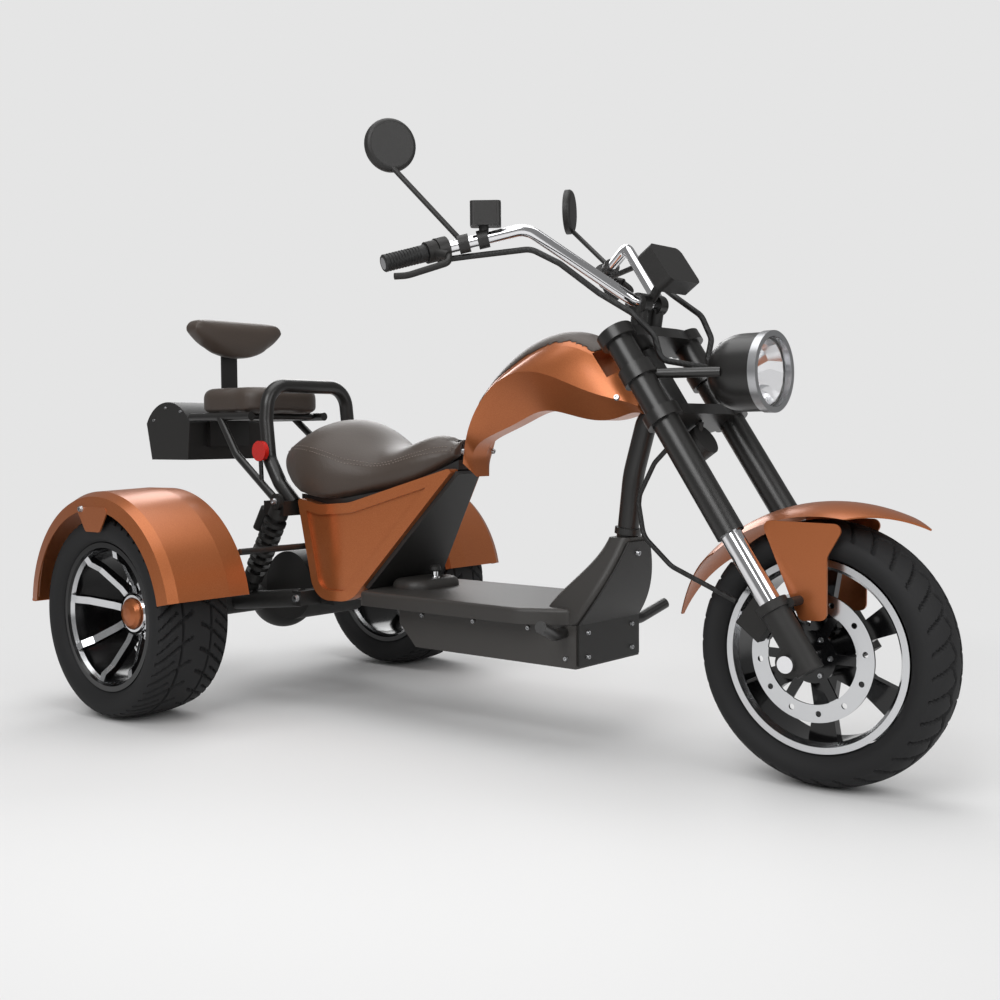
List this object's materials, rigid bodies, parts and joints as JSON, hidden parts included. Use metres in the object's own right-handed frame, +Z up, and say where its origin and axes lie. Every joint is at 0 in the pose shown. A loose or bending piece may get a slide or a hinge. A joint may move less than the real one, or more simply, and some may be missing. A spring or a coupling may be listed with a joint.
{
  "type": "three-wheeled electric scooter",
  "caption": "Chopper style electric scooter with a raked fork, a low deck, a saddle, a rear rack seat and wide rear wheels under copper fenders.",
  "frame": {"origin": "floor point below the middle of the overall length and width", "axes": "+X towards the front wheel, +Y to the rider's left, +Z up"},
  "size_m": [2.01, 1.024, 1.182],
  "materials": {
    "copper_paint": "satin metallic copper",
    "black_paint": "satin",
    "black_plastic": "fine grain",
    "chrome": "polished",
    "machined_alloy": "machined",
    "black_alloy": "gloss",
    "steel": "brushed",
    "tyre": "matt",
    "rubber": "matt",
    "brown_leather": "soft sheen",
    "lens": "clear",
    "mirror": "polished",
    "red_lens": "glossy",
    "casing": "cast"
  },
  "bodies": {
    "frame": {"backrest_post": "black_paint", "battery": "black_plastic", "battery_box": "black_paint", "deck": "black_plastic", "drive_motor": "casing", "fender_stays": "black_paint", "foot_pegs": "rubber", "front_cover": "black_plastic", "grab_hoop": "rubber", "main_frame": "black_paint", "nose_plate": "black_paint", "passenger_backrest": "brown_leather", "passenger_seat": "brown_leather", "rear_axle_housing": "casing", "rear_fender_left": "copper_paint", "rear_fender_right": "copper_paint", "rear_rack": "black_paint", "seat_base": "black_plastic", "shocks": "black_paint", "side_panel_left": "copper_paint", "side_panel_right": "copper_paint", "side_reflectors": "red_lens", "tail_box": "black_plastic", "tank_cover": "copper_paint", "tank_pad": "brown_leather"},
    "steering": {"lower_clamp": "black_paint", "upper_clamp": "black_paint", "fork_upper_tubes": "black_paint", "fork_stanchions": "chrome", "fork_lowers": "black_paint", "front_axle": "steel", "front_fender": "copper_paint", "handlebar": "chrome", "bar_risers": "black_paint", "grips": "rubber", "brake_levers": "black_plastic", "switch_pods": "black_plastic", "mirror_right": "black_paint", "mirror_left": "black_paint", "mirror_glass": "mirror", "display": "black_plastic", "headlight_shell": "black_paint", "headlight_ring": "machined_alloy", "headlight_lens": "lens", "headlight_bracket": "black_paint", "horn": "black_paint", "brake_caliper": "black_paint", "harness": "rubber", "brake_hose": "rubber", "brake_reservoir": "black_plastic"},
    "front_wheel": {"front_tyre": "tyre", "front_rim": "black_alloy", "front_disc": "steel"},
    "rear_wheel_right": {"rear_tyre_right": "tyre", "rear_rim_right": "black_alloy", "rear_hub_cap_right": "copper_paint"},
    "rear_wheel_left": {"rear_tyre_left": "tyre", "rear_rim_left": "black_alloy", "rear_hub_cap_left": "copper_paint"},
    "seat_lid": {"driver_seat": "brown_leather"}
  },
  "joints": [
    {"name": "steering", "type": "hinge", "parent": "frame", "child": "steering", "pos_m": [0.45574, 0, 0.67543], "axis": [-0.5592, 0, 0.829], "range_deg": [-35, 35]},
    {"name": "front_wheel_spin", "type": "hinge", "parent": "steering", "child": "front_wheel", "pos_m": [0.779, 0, 0.226], "axis": [0, 1, 0], "continuous": true},
    {"name": "rear_wheel_right_spin", "type": "hinge", "parent": "frame", "child": "rear_wheel_right", "pos_m": [-0.623, -0.41, 0.219], "axis": [0, 1, 0], "continuous": true},
    {"name": "rear_wheel_left_spin", "type": "hinge", "parent": "frame", "child": "rear_wheel_left", "pos_m": [-0.623, 0.41, 0.219], "axis": [0, 1, 0], "continuous": true},
    {"name": "seat_hinge", "type": "hinge", "parent": "frame", "child": "seat_lid", "pos_m": [-0.043, 0, 0.58], "axis": [0, 1, 0], "range_deg": [0, 60]}
  ]
}
